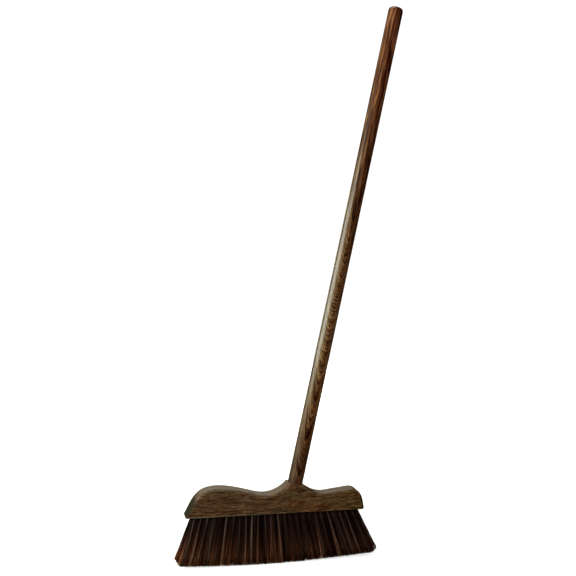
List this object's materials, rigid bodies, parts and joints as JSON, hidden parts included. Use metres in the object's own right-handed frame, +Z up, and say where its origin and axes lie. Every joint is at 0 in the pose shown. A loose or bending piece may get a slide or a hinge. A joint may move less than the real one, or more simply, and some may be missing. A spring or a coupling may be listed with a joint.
{
  "type": "floor broom",
  "caption": "Household floor broom: straight round hardwood handle screwed at a lean into a curved wooden head with fanned rows of dark bristle tufts.",
  "frame": {"origin": "middle of the line where the bristle tips meet the floor, under the head", "axes": "+Z up from the floor; +X along the head, towards the side that the handle leans to; +Y through the head's thickness, away from the front face"},
  "size_m": [0.4107, 0.0528, 1.0076],
  "materials": {
    "handle_wood": "satin",
    "head_wood": "satin",
    "steel": "satin",
    "brass": "satin",
    "fibre": "matte",
    "bristle": "satin",
    "bristle_root": "matte",
    "anchor_wire": "satin"
  },
  "bodies": {
    "head": {"head_block": "head_wood", "threaded_insert": "brass", "tuft_roots_row_1": "bristle_root", "tuft_roots_row_2": "bristle_root", "tuft_roots_row_3": "bristle_root", "tuft_roots_row_4": "bristle_root", "tuft_roots_row_5": "bristle_root", "anchors_row_1": "anchor_wire", "anchors_row_2": "anchor_wire", "anchors_row_3": "anchor_wire", "anchors_row_4": "anchor_wire", "anchors_row_5": "anchor_wire"},
    "washer": {"friction_washer": "fibre"},
    "handle": {"handle": "handle_wood", "hanger_bolt": "steel"},
    "bristle_row_1": {"tufts_row_1": "bristle"},
    "bristle_row_2": {"tufts_row_2": "bristle"},
    "bristle_row_3": {"tufts_row_3": "bristle"},
    "bristle_row_4": {"tufts_row_4": "bristle"},
    "bristle_row_5": {"tufts_row_5": "bristle"}
  },
  "joints": [
    {"name": "handle_lift", "type": "slide", "parent": "head", "child": "washer", "axis": [0.2079, 0, 0.9781], "range_m": [0, 0.01]},
    {"name": "handle_turn", "type": "hinge", "parent": "washer", "child": "handle", "pos_m": [0.03167, 0, 0.12031], "axis": [0.2079, 0, 0.9781], "range_deg": [0, 2880]},
    {"name": "bristle_flex_1", "type": "hinge", "parent": "head", "child": "bristle_row_1", "pos_m": [0, -0.012, 0.0849], "axis": [1, 0, 0], "range_deg": [-18, 18], "stiffness_Nm_per_rad": 4},
    {"name": "bristle_flex_2", "type": "hinge", "parent": "head", "child": "bristle_row_2", "pos_m": [0, -0.006, 0.0849], "axis": [1, 0, 0], "range_deg": [-18, 18], "stiffness_Nm_per_rad": 4},
    {"name": "bristle_flex_3", "type": "hinge", "parent": "head", "child": "bristle_row_3", "pos_m": [0, 0, 0.0849], "axis": [1, 0, 0], "range_deg": [-18, 18], "stiffness_Nm_per_rad": 4},
    {"name": "bristle_flex_4", "type": "hinge", "parent": "head", "child": "bristle_row_4", "pos_m": [0, 0.006, 0.0849], "axis": [1, 0, 0], "range_deg": [-18, 18], "stiffness_Nm_per_rad": 4},
    {"name": "bristle_flex_5", "type": "hinge", "parent": "head", "child": "bristle_row_5", "pos_m": [0, 0.012, 0.0849], "axis": [1, 0, 0], "range_deg": [-18, 18], "stiffness_Nm_per_rad": 4}
  ],
  "couplings": [
    {"joint": "handle_turn", "follows": "handle_lift", "rad_per_m": 5026.5},
    {"joint": "bristle_flex_1", "follows": "bristle_flex_3", "ratio": 1},
    {"joint": "bristle_flex_2", "follows": "bristle_flex_3", "ratio": 1},
    {"joint": "bristle_flex_4", "follows": "bristle_flex_3", "ratio": 1},
    {"joint": "bristle_flex_5", "follows": "bristle_flex_3", "ratio": 1}
  ]
}
